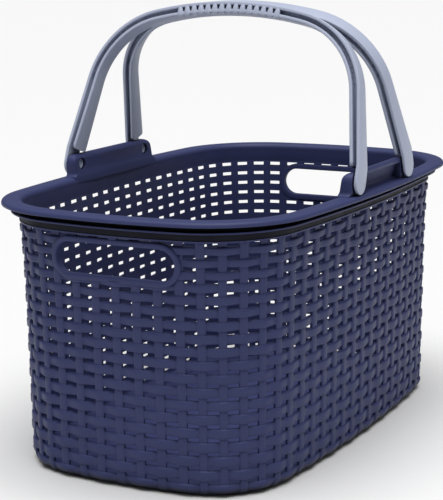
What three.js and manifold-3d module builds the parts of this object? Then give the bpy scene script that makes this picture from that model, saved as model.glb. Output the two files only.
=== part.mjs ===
// A wicker-look plastic carry basket with two swinging handles.
// Millimetres, +Z up, X along the length, Y across the width.
// The origin is at the middle of the footprint, on the surface that the basket stands on.
import * as THREE from 'three';
import { mergeVertices } from 'three/addons/utils/BufferGeometryUtils.js';
import Module from 'manifold-3d';

const wasm = await Module();
wasm.setup();

// ---- Driving dimensions ----

// Plan of the rim's crest: four round corners joined by gently bowed ends and sides.
const HALF_LENGTH = 200;
const HALF_WIDTH = 122.5;
const CORNER_RADIUS = 71.5;
const END_BOW = 8.4;
const SIDE_BOW = 5.4;

// Heights, from the ground.
const RIM_HEIGHT = 202.6;
const COLLAR_DEPTH = 15.6;
const RIB_DROP = 8.4;

// Rim flange, measured outwards from the crest.
const LIP_REACH = 8.5;
const LIP_HEIGHT = 4.8;
const RIM_WALL = 2.2;
const RIB_REACH = 1.5;
const RIB_THICKNESS = 1.5;

// Basket wall. The wall leans in towards the floor, with a short flare under the collar.
const COLLAR_INSET = 5;
const COLLAR_WALL = 2.4;
const FLARE = 2.5;
const FLARE_LENGTH = 25;
const DRAFT = 3.2;
const WALL = 3;
const WEAVE_PROUD = 0.6;
const CURB_RADIUS = 10;
const FLOOR_THICKNESS = 2.6;

// Hand-holes in the two ends.
const HAND_HOLE_LENGTH = 97;
const HAND_HOLE_HEIGHT = 23.2;
const FRAME_BORDER = 5.7;
const FRAME_PROUD = 2;
const FRAME_BELOW_COLLAR = 1.3;

// Hinge towers, one at the middle of each long side.
const TOWER_CORNER = 7;
const TOWER_WALL = 3;
const TOWER_INSET = 7.1;
const TOWER_REACH = 2.7;

// Pivots. Each one is in the middle of a pillar of its tower.
const PIVOT_SPACING = 99;
const PIVOT_TO_END = 10.5;
const PIVOT_TO_TOP = 7.8;
const LEG_CLEARANCE = 0.2;
const STUD_RADIUS = 4.4;
const STUD_CLEARANCE = 0.4;
const STUD_RECESS = 2;

// Handles. Each is one H-section bow.
const HANDLE_HEIGHT = 136.2;
const HANDLE_CORNER = 71;
const HANDLE_TOP_RADIUS = 285;
const LEG_LEAN = 8.5;
const LEG_STRAIGHT = 12;
const LEG_GAP = 1;
const FLANGE = 2.6;
const FLANGE_WIDTH = 13;
const END_RADIUS = 9.2;
const GROOVE = 3.4;
const WEB = 4;
const FLANGE_ABOVE_TOWER = 0.39;
const HANDLES_APART = 0.3;

// Grip ribs, in the outward groove of each handle.
const RIB_COUNT = 15;
const RIB_PITCH = 6.17;
const RIB_WIDTH = 4.4;
const GRIP_PROUD = 0.8;
const GRIP_BACKING = 1.6;

// Parts that touch keep this gap, and the bent parts have this many steps to each arc.
const GAP = 0.3;
const ARC_STEPS = 8;
const CURB_STEPS = 4;

// ---- Materials ----

const navy = () => new THREE.MeshStandardMaterial({ color: 0x333a5e, roughness: 0.48, metalness: 0 });
const greyBlue = () => new THREE.MeshStandardMaterial({ color: 0x9aa4bd, roughness: 0.42, metalness: 0 });

// ---- Solids: join and cut with manifold-3d ----

function toSolid(geometry) {
  const bare = geometry.clone();
  bare.deleteAttribute('normal');
  bare.deleteAttribute('uv');
  const merged = mergeVertices(bare, 1e-4);
  const triVerts = new Uint32Array(merged.index.array);
  const vertProperties = new Float32Array(merged.attributes.position.array);
  return new wasm.Manifold(new wasm.Mesh({ numProp: 3, vertProperties, triVerts }));
}

function toGeometry(solid) {
  const mesh = solid.getMesh();
  const geometry = new THREE.BufferGeometry();
  geometry.setAttribute('position', new THREE.BufferAttribute(new Float32Array(mesh.vertProperties), 3));
  geometry.setIndex(new THREE.BufferAttribute(new Uint32Array(mesh.triVerts), 1));
  geometry.computeVertexNormals();
  return geometry;
}

function joined(geometries) {
  return geometries.map(toSolid).reduce((sum, solid) => sum.add(solid));
}

// ---- The plan curve ----

// The end and side arcs are tangent to the corner arcs, which sets both of their radii.
function planArcs() {
  const end = THREE.MathUtils.degToRad(END_BOW);
  const side = THREE.MathUtils.degToRad(SIDE_BOW);
  const across = HALF_WIDTH + CORNER_RADIUS * (Math.sin(end) - Math.cos(side));
  const along = HALF_LENGTH + CORNER_RADIUS * (Math.sin(side) - Math.cos(end));
  const endSag = 1 - Math.cos(end);
  const sideSag = 1 - Math.cos(side);
  const determinant = Math.sin(end) * Math.sin(side) - endSag * sideSag;
  const endRadius = (across * Math.sin(side) - along * sideSag) / determinant;
  const sideRadius = (along * Math.sin(end) - across * endSag) / determinant;
  const endCentre = HALF_LENGTH - endRadius;
  const sideCentre = HALF_WIDTH - sideRadius;
  const cornerX = (sideRadius - CORNER_RADIUS) * Math.sin(side);
  const cornerY = (endRadius - CORNER_RADIUS) * Math.sin(end);
  const quarter = Math.PI / 2;
  return [
    { x: endCentre, y: 0, radius: endRadius, from: -end, to: end },
    { x: cornerX, y: cornerY, radius: CORNER_RADIUS, from: end, to: quarter - side },
    { x: 0, y: sideCentre, radius: sideRadius, from: quarter - side, to: quarter + side },
    { x: -cornerX, y: cornerY, radius: CORNER_RADIUS, from: quarter + side, to: 2 * quarter - end },
    { x: -endCentre, y: 0, radius: endRadius, from: 2 * quarter - end, to: 2 * quarter + end },
    { x: -cornerX, y: -cornerY, radius: CORNER_RADIUS, from: 2 * quarter + end, to: 3 * quarter - side },
    { x: 0, y: -sideCentre, radius: sideRadius, from: 3 * quarter - side, to: 3 * quarter + side },
    { x: cornerX, y: -cornerY, radius: CORNER_RADIUS, from: 3 * quarter + side, to: 4 * quarter - end },
  ];
}

const PLAN = planArcs();
const CORNER_ARC_LENGTH = CORNER_RADIUS * (PLAN[1].to - PLAN[1].from);

// A place on the plan: the arc's number plus how far along that arc, pushed outwards by an offset.
function planPoint(place, offset) {
  const turn = ((place % PLAN.length) + PLAN.length) % PLAN.length;
  const number = Math.floor(turn);
  const arc = PLAN[number];
  const angle = arc.from + (arc.to - arc.from) * (turn - number);
  return [
    arc.x + (arc.radius + offset) * Math.cos(angle),
    arc.y + (arc.radius + offset) * Math.sin(angle),
  ];
}

// A lathed ring bent onto the plan. Section points are (offset from the crest, height).
function ringOnPlan(section) {
  const points = section.map(([offset, height]) => new THREE.Vector2(offset, height));
  points.push(points[0].clone());
  const ring = new THREE.LatheGeometry(points, PLAN.length * ARC_STEPS);
  const position = ring.attributes.position;
  for (let index = 0; index < position.count; index += 1) {
    const place = Math.floor(index / points.length) / ARC_STEPS;
    const point = points[index % points.length];
    const [x, y] = planPoint(place, point.x);
    position.setXYZ(index, x, y, point.y);
  }
  return ring;
}

// A box bent onto the plan between two places, with its faces at given offsets for each height.
function panelOnPlan(from, to, bottom, top, inner, outer) {
  const stepsAlong = Math.round((to - from) * 10);
  const stepsUp = 12;
  const panel = new THREE.BoxGeometry(1, 1, 1, stepsAlong, 1, stepsUp);
  const position = panel.attributes.position;
  for (let index = 0; index < position.count; index += 1) {
    const place = from + (to - from) * (position.getX(index) + 0.5);
    const height = bottom + (top - bottom) * (position.getZ(index) + 0.5);
    const offset = position.getY(index) < 0 ? outer(height) : inner(height);
    const [x, y] = planPoint(place, offset);
    position.setXYZ(index, x, y, height);
  }
  return panel;
}

function planShape(offset) {
  const shape = new THREE.Shape();
  PLAN.forEach((arc) => shape.absarc(arc.x, arc.y, arc.radius + offset, arc.from, arc.to, false));
  return shape;
}

// ---- Shared basket sizes ----

const COLLAR_BOTTOM = RIM_HEIGHT - COLLAR_DEPTH;
const COLLAR_INNER = -COLLAR_INSET - COLLAR_WALL;
const LIP_BOTTOM = RIM_HEIGHT - LIP_HEIGHT;
const SKIRT_BOTTOM = LIP_BOTTOM - 0.8;
const PIVOT_HEIGHT = RIM_HEIGHT + LEG_CLEARANCE + END_RADIUS;

// The middle surface's offset from the rim crest: the flare fades out below the collar.
function wallOffset(height) {
  const below = COLLAR_BOTTOM - height;
  const flare = FLARE * (1 - Math.exp(-below / FLARE_LENGTH));
  return -COLLAR_INSET - flare - (DRAFT * below) / COLLAR_BOTTOM;
}

const wallOuter = (height) => wallOffset(height) + WEAVE_PROUD;
const wallInner = (height) => wallOffset(height) + WEAVE_PROUD - WALL;

// ---- Rim, rib, collar, curb and floor ----

// The flange is a domed shell: over the top from lip to skirt, then back underneath.
const RIM_TOP = [
  [LIP_REACH, RIM_HEIGHT - 2.4],
  [LIP_REACH - 1.2, RIM_HEIGHT - 1.1],
  [LIP_REACH / 2, RIM_HEIGHT - 0.2],
  [0, RIM_HEIGHT],
  [COLLAR_INNER / 2, RIM_HEIGHT - 0.5],
  [COLLAR_INNER + 1.2, RIM_HEIGHT - 1.8],
  [COLLAR_INNER + 0.1, RIM_HEIGHT - 3.8],
];

function rimSection() {
  const underside = [
    [-COLLAR_INSET, SKIRT_BOTTOM],
    [-COLLAR_INSET, RIM_HEIGHT - RIM_WALL - 1.6],
    [-COLLAR_INSET + 1.6, RIM_HEIGHT - RIM_WALL - 0.4],
    [0, RIM_HEIGHT - RIM_WALL],
    [LIP_REACH / 2, RIM_HEIGHT - RIM_WALL - 0.2],
    [LIP_REACH - RIM_WALL, RIM_HEIGHT - RIM_WALL - 0.9],
    [LIP_REACH - RIM_WALL, LIP_BOTTOM],
  ];
  return [[LIP_REACH, LIP_BOTTOM], ...RIM_TOP, [COLLAR_INNER, SKIRT_BOTTOM], ...underside];
}

function ribSection() {
  const top = RIM_HEIGHT - RIB_DROP;
  const bottom = top - RIB_THICKNESS;
  const inner = -COLLAR_INSET + GAP;
  return [
    [inner, bottom],
    [RIB_REACH, bottom],
    [RIB_REACH, top - 0.6],
    [RIB_REACH - 0.6, top],
    [inner, top],
  ];
}

function collarSection() {
  const top = SKIRT_BOTTOM - GAP;
  return [
    [COLLAR_INNER, COLLAR_BOTTOM],
    [-COLLAR_INSET, COLLAR_BOTTOM],
    [-COLLAR_INSET, top],
    [COLLAR_INNER, top],
  ];
}

const CURB_CENTRE = wallOuter(CURB_RADIUS) - CURB_RADIUS;

// A quarter round from the floor up to the wall.
function curbSection() {
  const arc = (radius) => {
    const points = [];
    for (let step = 0; step <= CURB_STEPS; step += 1) {
      const angle = (Math.PI / 2) * (step / CURB_STEPS);
      points.push([CURB_CENTRE + radius * Math.sin(angle), CURB_RADIUS - radius * Math.cos(angle)]);
    }
    return points;
  };
  return [...arc(CURB_RADIUS), ...arc(CURB_RADIUS - FLOOR_THICKNESS).reverse()];
}

function floorPlate() {
  const options = { depth: FLOOR_THICKNESS, bevelEnabled: false, curveSegments: ARC_STEPS };
  return new THREE.ExtrudeGeometry(planShape(CURB_CENTRE - GAP), options);
}

// ---- Walls and hand-holes ----

const WALL_BOTTOM = CURB_RADIUS + GAP;
const WALL_TOP = COLLAR_BOTTOM - GAP;
const HAND_HOLE_CENTRE = COLLAR_BOTTOM - FRAME_BELOW_COLLAR - FRAME_BORDER - HAND_HOLE_HEIGHT / 2;

// A bar of stadium section, lying along X through one end of the basket (side is -1 or +1).
function handHoleBar(side, grow) {
  const radius = HAND_HOLE_HEIGHT / 2 + grow;
  const reach = HAND_HOLE_LENGTH / 2 - HAND_HOLE_HEIGHT / 2;
  const shape = new THREE.Shape();
  shape.absarc(reach, 0, radius, -Math.PI / 2, Math.PI / 2, false);
  shape.absarc(-reach, 0, radius, Math.PI / 2, (3 * Math.PI) / 2, false);
  const depth = HALF_LENGTH / 2;
  const bar = new THREE.ExtrudeGeometry(shape, { depth, bevelEnabled: false, curveSegments: 14 });
  bar.applyMatrix4(new THREE.Matrix4().makeBasis(
    new THREE.Vector3(0, 1, 0),
    new THREE.Vector3(0, 0, 1),
    new THREE.Vector3(1, 0, 0),
  ));
  bar.translate(side * HALF_LENGTH - depth / 2, 0, HAND_HOLE_CENTRE);
  return bar;
}

// Panels meet a tenth of the way round each corner, with half the gap taken from each.
const SHARE = 0.1;
const SEAM = GAP / 2 / CORNER_ARC_LENGTH;

function wallPanel(from, to) {
  return panelOnPlan(from + SEAM, to - SEAM, WALL_BOTTOM, WALL_TOP, wallInner, wallOuter);
}

function endWall(arc, side) {
  const wall = toSolid(wallPanel(arc - SHARE, arc + 1 + SHARE));
  return toGeometry(wall.subtract(toSolid(handHoleBar(side, FRAME_BORDER + GAP))));
}

// The raised border follows the wall's curve, and the hole goes through its middle.
function handHoleFrame(arc, side) {
  const outer = (height) => wallOuter(height) + FRAME_PROUD;
  const inner = (height) => wallInner(height) - FRAME_PROUD / 4;
  const half = HAND_HOLE_HEIGHT / 2 + FRAME_BORDER + 1;
  const bottom = HAND_HOLE_CENTRE - half;
  const band = panelOnPlan(arc - 2 * SHARE, arc + 1 + 2 * SHARE, bottom, WALL_TOP, inner, outer);
  const border = toSolid(handHoleBar(side, FRAME_BORDER));
  const hole = toSolid(handHoleBar(side, 0));
  return toGeometry(toSolid(band).intersect(border).subtract(hole));
}

// ---- Hinge towers ----

// Built on the +Y side, and turned half round for the other one.
const TOWER_TOP = PIVOT_HEIGHT + PIVOT_TO_TOP;
const TOWER_LENGTH = PIVOT_SPACING + 2 * PIVOT_TO_END;
const TOWER_INNER_FACE = HALF_WIDTH - TOWER_INSET;
const TOWER_OUTER_FACE = HALF_WIDTH + TOWER_REACH;

// The inner face leans outwards and rolls over at the top. Points are (Y, Z).
const TOWER_ROLL = [
  [TOWER_INNER_FACE, RIM_HEIGHT - 5],
  [TOWER_INNER_FACE + 0.5, RIM_HEIGHT],
  [TOWER_INNER_FACE + 1.2, TOWER_TOP - 12.6],
  [TOWER_INNER_FACE + 2, TOWER_TOP - 7.6],
  [TOWER_INNER_FACE + 3.6, TOWER_TOP - 3.3],
  [TOWER_INNER_FACE + 6, TOWER_TOP - 0.7],
  [TOWER_OUTER_FACE - 2, TOWER_TOP],
  [TOWER_OUTER_FACE - 0.5, TOWER_TOP - 0.7],
  [TOWER_OUTER_FACE, TOWER_TOP - 2.2],
];

const X_FROM_DEPTH = new THREE.Matrix4().makeBasis(
  new THREE.Vector3(0, 1, 0),
  new THREE.Vector3(0, 0, 1),
  new THREE.Vector3(1, 0, 0),
);

// A (Y, Z) outline extruded along X between two places.
function barAlongX(points, from, to) {
  const shape = new THREE.Shape(points.map(([y, z]) => new THREE.Vector2(y, z)));
  const bar = new THREE.ExtrudeGeometry(shape, { depth: to - from, bevelEnabled: false });
  bar.applyMatrix4(X_FROM_DEPTH);
  bar.translate(from, 0, 0);
  return bar;
}

// The tower's outline seen from the side, with rounded top corners.
function towerOutline() {
  const half = TOWER_LENGTH / 2;
  const corner = TOWER_TOP - TOWER_CORNER;
  const shape = new THREE.Shape();
  shape.moveTo(-half, RIM_HEIGHT - 10);
  shape.lineTo(half, RIM_HEIGHT - 10);
  shape.absarc(half - TOWER_CORNER, corner, TOWER_CORNER, 0, Math.PI / 2, false);
  shape.absarc(TOWER_CORNER - half, corner, TOWER_CORNER, Math.PI / 2, Math.PI, false);
  const outline = new THREE.ExtrudeGeometry(shape, { depth: 40, bevelEnabled: false, curveSegments: 8 });
  outline.rotateX(Math.PI / 2);
  outline.translate(0, HALF_WIDTH + 20, 0);
  return outline;
}

// Everything that the rim takes up, and a gap above it.
function rimRoom() {
  const top = RIM_TOP.map(([offset, height]) => [offset, height + GAP]);
  const first = [LIP_REACH + GAP, RIM_HEIGHT - COLLAR_DEPTH];
  const last = [COLLAR_INNER - GAP, RIM_HEIGHT - COLLAR_DEPTH];
  return ringOnPlan([first, [LIP_REACH + GAP, top[0][1]], ...top, [last[0], top[6][1]], last]);
}

function pivotHole(place) {
  const hole = new THREE.CylinderGeometry(STUD_RADIUS + STUD_CLEARANCE, STUD_RADIUS + STUD_CLEARANCE, 40, 32);
  hole.translate(place, HALF_WIDTH, PIVOT_HEIGHT);
  return hole;
}

function hingeTower() {
  const under = TOWER_TOP - 4.4;
  const plate = [
    ...TOWER_ROLL,
    [TOWER_OUTER_FACE - 0.6, under],
    [TOWER_INNER_FACE + 5 + TOWER_WALL / 3, under],
    [TOWER_INNER_FACE + 1.6 + TOWER_WALL, TOWER_TOP - 9],
    [TOWER_INNER_FACE + 0.8 + TOWER_WALL, RIM_HEIGHT],
    [TOWER_INNER_FACE + TOWER_WALL, RIM_HEIGHT - 5],
  ];
  const pillar = [...TOWER_ROLL, [TOWER_OUTER_FACE, RIM_HEIGHT - 5]];
  const half = TOWER_LENGTH / 2;
  const body = joined([
    barAlongX(plate, -half, half),
    barAlongX(pillar, -half, 2 * PIVOT_TO_END - half),
    barAlongX(pillar, half - 2 * PIVOT_TO_END, half),
  ]);
  const holes = joined([pivotHole(-PIVOT_SPACING / 2), pivotHole(PIVOT_SPACING / 2)]);
  const shaped = body.intersect(toSolid(towerOutline())).subtract(toSolid(rimRoom()));
  return toGeometry(shaped.subtract(holes));
}

// ---- Handles ----

// In a handle's own space the pivot axis is Y, through the origin, and the bow stands up along Z.
const LEG_INNER = HALF_WIDTH + TOWER_REACH + LEG_GAP;
const LEG_OUTER = LEG_INNER + FLANGE;

// The corner arc touches both the leaning leg and the top arc.
function bowCorner() {
  const lean = THREE.MathUtils.degToRad(LEG_LEAN);
  const topCentre = HANDLE_HEIGHT - HANDLE_TOP_RADIUS;
  const reach = HANDLE_TOP_RADIUS - HANDLE_CORNER;
  // Slide the centre along the line that is one corner radius inside the leg.
  const startY = LEG_OUTER - HANDLE_CORNER * Math.cos(lean);
  const startZ = LEG_STRAIGHT - HANDLE_CORNER * Math.sin(lean);
  const rise = startZ - topCentre;
  const half = rise * Math.cos(lean) - startY * Math.sin(lean);
  const travel = -half + Math.sqrt(half * half - (startY * startY + rise * rise - reach * reach));
  const y = startY - travel * Math.sin(lean);
  const z = startZ + travel * Math.cos(lean);
  return { y, z, lean, topCentre, meet: Math.atan2(z - topCentre, y) };
}

const CORNER = bowCorner();

// Both handles lean in until their upper edges meet over the middle of the basket.
function restLean() {
  const reach = Math.hypot(HANDLE_HEIGHT, FLANGE_WIDTH / 2);
  const across = PIVOT_SPACING / 2 - HANDLES_APART / 2;
  return Math.asin(across / reach) - Math.atan2(FLANGE_WIDTH / 2, HANDLE_HEIGHT);
}

// The inner flange starts just clear of the tower's top when its handle leans in.
function innerFlangeStart() {
  const lean = restLean();
  const height = PIVOT_TO_TOP + FLANGE_ABOVE_TOWER + END_RADIUS * Math.sin(lean);
  return height / Math.cos(lean);
}

const INNER_FLANGE_START = innerFlangeStart();

// The bow's line from one foot over to the other, set in from its outer face.
function bowLine(inset, foot) {
  const path = new THREE.Path();
  const radius = HANDLE_CORNER - inset;
  const leg = LEG_OUTER - inset;
  path.moveTo(leg, foot);
  if (foot < LEG_STRAIGHT) path.lineTo(leg, LEG_STRAIGHT);
  path.absarc(CORNER.y, CORNER.z, radius, CORNER.lean, CORNER.meet, false);
  path.absarc(0, CORNER.topCentre, HANDLE_TOP_RADIUS - inset, CORNER.meet, Math.PI - CORNER.meet, false);
  path.absarc(-CORNER.y, CORNER.z, radius, Math.PI - CORNER.meet, Math.PI - CORNER.lean, false);
  if (foot < LEG_STRAIGHT) path.lineTo(-leg, LEG_STRAIGHT);
  path.lineTo(-leg, foot);
  return path.getPoints(8);
}

// Legs widen a little towards the pivot.
function legHalfWidth(height) {
  const spread = END_RADIUS - FLANGE_WIDTH / 2;
  return FLANGE_WIDTH / 2 + spread * Math.max(0, 1 - height / CORNER.z);
}

// A strip of the bow between two insets, as wide as share of the leg's width or of a fixed width.
function bowStrip(outerInset, innerInset, foot, halfWidth) {
  const outline = [...bowLine(outerInset, foot), ...bowLine(innerInset, foot).reverse()];
  const strip = new THREE.ExtrudeGeometry(new THREE.Shape(outline), { depth: 2, bevelEnabled: false });
  const position = strip.attributes.position;
  for (let index = 0; index < position.count; index += 1) {
    const y = position.getX(index);
    const z = position.getY(index);
    position.setXYZ(index, (position.getZ(index) - 1) * halfWidth(z), y, z);
  }
  return strip;
}

function legEnd(side) {
  const end = new THREE.CylinderGeometry(END_RADIUS, END_RADIUS, FLANGE, 40);
  end.translate(0, side * (LEG_INNER + FLANGE / 2), 0);
  return end;
}

function handleBow() {
  const inner = FLANGE + GROOVE;
  const web = () => WEB / 2;
  const overlap = 0.2;
  return toGeometry(joined([
    bowStrip(0, FLANGE, 0, legHalfWidth),
    bowStrip(inner, inner + FLANGE, INNER_FLANGE_START, legHalfWidth),
    bowStrip(FLANGE - overlap, inner + overlap, INNER_FLANGE_START, web),
    legEnd(1),
    legEnd(-1),
  ]));
}

// Ribs stand across the groove on the side that faces away from the other handle,
// on a thin backing that runs the length of the grip.
function gripRibs(side) {
  const height = GROOVE - 2 * GAP;
  const depth = FLANGE_WIDTH / 2 - WEB / 2 - GAP + GRIP_PROUD;
  const middle = HANDLE_TOP_RADIUS - FLANGE - GROOVE / 2;
  const ribs = [];
  for (let number = 0; number < RIB_COUNT; number += 1) {
    const along = (number - (RIB_COUNT - 1) / 2) * RIB_PITCH;
    const rib = new THREE.CapsuleGeometry(height / 2, RIB_WIDTH - height, 2, 8);
    rib.scale(depth / height, 1, 1);
    rib.translate(side * (WEB / 2 + GAP + depth / 2), 0, middle);
    rib.rotateX(-along / middle);
    rib.translate(0, 0, CORNER.topCentre);
    ribs.push(rib);
  }
  const halfBacking = GRIP_BACKING / 2;
  const backing = bowStrip(FLANGE + GAP, FLANGE + GROOVE - GAP, INNER_FLANGE_START, () => halfBacking);
  backing.translate(side * (WEB / 2 + GAP + halfBacking), 0, 0);
  const reach = new THREE.BoxGeometry(FLANGE_WIDTH * 2, RIB_COUNT * RIB_PITCH, HANDLE_HEIGHT);
  reach.translate(0, 0, HANDLE_HEIGHT);
  const strip = toSolid(backing).intersect(toSolid(reach));
  return toGeometry(joined(ribs).add(strip));
}

function pivotStud(side) {
  const inner = TOWER_INNER_FACE + 1.2 + STUD_RECESS;
  const outer = LEG_INNER - GAP;
  const stud = new THREE.CylinderGeometry(STUD_RADIUS, STUD_RADIUS, outer - inner, 32);
  stud.translate(0, (side * (outer + inner)) / 2, 0);
  return stud;
}

// ---- Assembly ----

function part(name, geometry, material) {
  const mesh = new THREE.Mesh(geometry, material);
  mesh.name = name;
  return mesh;
}

const basket = new THREE.Group();
basket.add(part('rim_flange', ringOnPlan(rimSection()), navy()));
basket.add(part('rim_rib', ringOnPlan(ribSection()), navy()));
basket.add(part('collar', ringOnPlan(collarSection()), navy()));
basket.add(part('base_curb', ringOnPlan(curbSection()), navy()));
basket.add(part('floor', floorPlate(), navy()));
basket.add(part('far_end_wall', endWall(0, 1), navy()));
basket.add(part('near_end_wall', endWall(4, -1), navy()));
basket.add(part('left_wall', wallPanel(2 - SHARE, 3 + SHARE), navy()));
basket.add(part('right_wall', wallPanel(6 - SHARE, 7 + SHARE), navy()));
basket.add(part('far_left_corner', wallPanel(1 + SHARE, 2 - SHARE), navy()));
basket.add(part('near_left_corner', wallPanel(3 + SHARE, 4 - SHARE), navy()));
basket.add(part('near_right_corner', wallPanel(5 + SHARE, 6 - SHARE), navy()));
basket.add(part('far_right_corner', wallPanel(7 + SHARE, 8 - SHARE), navy()));
basket.add(part('far_hand_hole_frame', handHoleFrame(0, 1), navy()));
basket.add(part('near_hand_hole_frame', handHoleFrame(4, -1), navy()));
basket.add(part('left_hinge_tower', hingeTower(), navy()));

const rightTower = part('right_hinge_tower', hingeTower(), navy());
rightTower.rotation.z = Math.PI;
basket.add(rightTower);

// The far handle is the same moulding as the near one, turned half round.
function handle(prefix) {
  const group = new THREE.Group();
  group.add(part(`${prefix}_handle_bow`, handleBow(), greyBlue()));
  group.add(part(`${prefix}_grip_ribs`, gripRibs(-1), greyBlue()));
  group.add(part(`${prefix}_left_stud`, pivotStud(1), greyBlue()));
  group.add(part(`${prefix}_right_stud`, pivotStud(-1), greyBlue()));
  group.rotation.y = restLean();
  group.position.set(-PIVOT_SPACING / 2, 0, PIVOT_HEIGHT);
  return group;
}

const nearHandle = handle('near');
const farHandle = new THREE.Group();
farHandle.add(handle('far'));
farHandle.rotation.z = Math.PI;

const object = new THREE.Group();
object.add(basket, nearHandle, farHandle);

export default object;
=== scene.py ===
import math

import bmesh
import bpy
from mathutils import Matrix, Vector


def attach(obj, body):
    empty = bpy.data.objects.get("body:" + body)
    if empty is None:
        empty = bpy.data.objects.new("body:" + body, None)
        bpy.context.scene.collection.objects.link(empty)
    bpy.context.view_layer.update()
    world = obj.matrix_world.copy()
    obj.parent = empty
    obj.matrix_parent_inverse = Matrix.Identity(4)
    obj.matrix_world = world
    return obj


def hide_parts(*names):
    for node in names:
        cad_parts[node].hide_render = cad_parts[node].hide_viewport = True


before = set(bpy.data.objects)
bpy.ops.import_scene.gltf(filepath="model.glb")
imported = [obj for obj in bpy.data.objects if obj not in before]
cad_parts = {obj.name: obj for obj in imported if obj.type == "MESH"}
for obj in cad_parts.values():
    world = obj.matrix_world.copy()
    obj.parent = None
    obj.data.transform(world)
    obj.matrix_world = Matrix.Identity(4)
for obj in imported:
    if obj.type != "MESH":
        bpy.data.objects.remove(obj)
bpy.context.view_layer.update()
scene = bpy.context.scene
MM = 0.001

# ---- Navy polypropylene ----
# The basket's plastic: injection-moulded polypropylene from a finely spark-eroded mould, which
# leaves a satin skin with a soft highlight, very slight sink waves and no sharp reflections.


def from_hex(text):
    """A linear colour from an sRGB hex value."""
    shares = [int(text[place : place + 2], 16) / 255 for place in (0, 2, 4)]
    return [s / 12.92 if s <= 0.04045 else ((s + 0.055) / 1.055) ** 2.4 for s in shares] + [1]


def node(tree, kind, links=None, **settings):
    """Adds a node with its settings. A link's value is a node, a node's socket or a plain value."""
    made = tree.nodes.new(kind)
    for key, value in settings.items():
        setattr(made, key, value)
    for key, value in (links or {}).items():
        if isinstance(value, bpy.types.Node):
            value = value.outputs[0]
        if isinstance(value, bpy.types.NodeSocket):
            tree.links.new(value, made.inputs[key])
        else:
            made.inputs[key].default_value = value
    return made


def moulded_plastic(name, main, darker, deep, roughness, grain):
    """Satin moulded polypropylene: its two near tints, the painted shade tint of its hemmed-in places, and
    its grain.
    """
    material = bpy.data.materials.new(name)
    material.use_nodes = True
    tree = material.node_tree
    tree.nodes.clear()
    place = node(tree, "ShaderNodeTexCoord").outputs["Object"]
    cloud = node(tree, "ShaderNodeTexNoise", {"Vector": place, "Scale": 24, "Detail": 3})
    tints = {"Factor": cloud.outputs["Fac"], 6: from_hex(main), 7: from_hex(darker)}
    tint = node(tree, "ShaderNodeMix", tints, data_type="RGBA")
    # Painted shade: where ambient occlusion finds the plastic hemmed in, as in slots and undercuts, its
    # colour is drawn darker towards the deep tint, for the shade that falls there.
    open_air = node(tree, "ShaderNodeAmbientOcclusion", {"Distance": 18 * MM}, samples=8)
    reached = node(tree, "ShaderNodeMapRange", {0: open_air.outputs["AO"], 1: 0.2, 2: 0.62})
    shades = {"Factor": reached, 6: from_hex(deep), 7: tint.outputs[2]}
    shade = node(tree, "ShaderNodeMix", shades, data_type="RGBA")
    rub = node(tree, "ShaderNodeTexNoise", {"Vector": place, "Scale": 70, "Detail": 4})
    glosses = {0: rub.outputs["Fac"], 1: 0.3, 2: 0.7, 3: roughness - 0.05, 4: roughness + 0.05}
    gloss = node(tree, "ShaderNodeMapRange", glosses)
    # Spark grain of about half a millimetre: the real one is finer, and would not show.
    spark = node(tree, "ShaderNodeTexNoise", {"Vector": place, "Scale": 2000, "Detail": 2})
    sink = node(tree, "ShaderNodeTexNoise", {"Vector": place, "Scale": 120, "Detail": 1})
    slow = {"Height": sink.outputs["Fac"], "Strength": 0.12, "Distance": 0.4 * MM}
    waves = node(tree, "ShaderNodeBump", slow)
    fine = {"Height": spark.outputs["Fac"], "Strength": grain, "Distance": 0.05 * MM, "Normal": waves}
    skin = node(tree, "ShaderNodeBump", fine)
    shader = node(
        tree,
        "ShaderNodeBsdfPrincipled",
        {
            "Base Color": shade.outputs[2],
            "Roughness": gloss,
            "IOR": 1.49,
            "Specular IOR Level": 0.2,
            "Normal": skin,
        },
    )
    node(tree, "ShaderNodeOutputMaterial", {"Surface": shader})
    return material


# The third colour is the painted shade in slots and undercuts.
navy = moulded_plastic("moulded_polypropylene_navy", "3a4069", "343a60", "0b0c16", 0.46, 0.35)

# ---- Woven wall ----
# The wall is moulded to look like flat cane: upright stakes, with bands that pass in front of
# them and behind them by turns, and a slot in every cell. It leans in towards the floor, and
# its last band curls under to stand on the ground. One moulding with the rest of the basket.

HALF_LENGTH = 200 * MM
HALF_WIDTH = 122.5 * MM
CORNER_RADIUS = 71.5 * MM
END_BOW = math.radians(8.4)
SIDE_BOW = math.radians(5.4)
RIM_HEIGHT = 202.6 * MM
COLLAR_BOTTOM = 187 * MM
COLLAR_INSET = 5 * MM
FLARE = 2.5 * MM
FLARE_LENGTH = 25 * MM
DRAFT = 3.2 * MM
WALL = 3 * MM
PROUD = 0.6 * MM
CURB_RADIUS = 10 * MM

STAKES = 66
ROWS = 19
TOP_ROW = 184 * MM
ROW_STEP = 8.67 * MM
ROW_GROWTH = 0.0512 * MM
SLOT_HEIGHT = 3.3 * MM
STAKE_SHARE = 0.205
BAND_SWING = 1.2
PLAN_STEPS = 20 * STAKES
WALL_STEPS = 118
CURL_STEPS = 24


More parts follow.
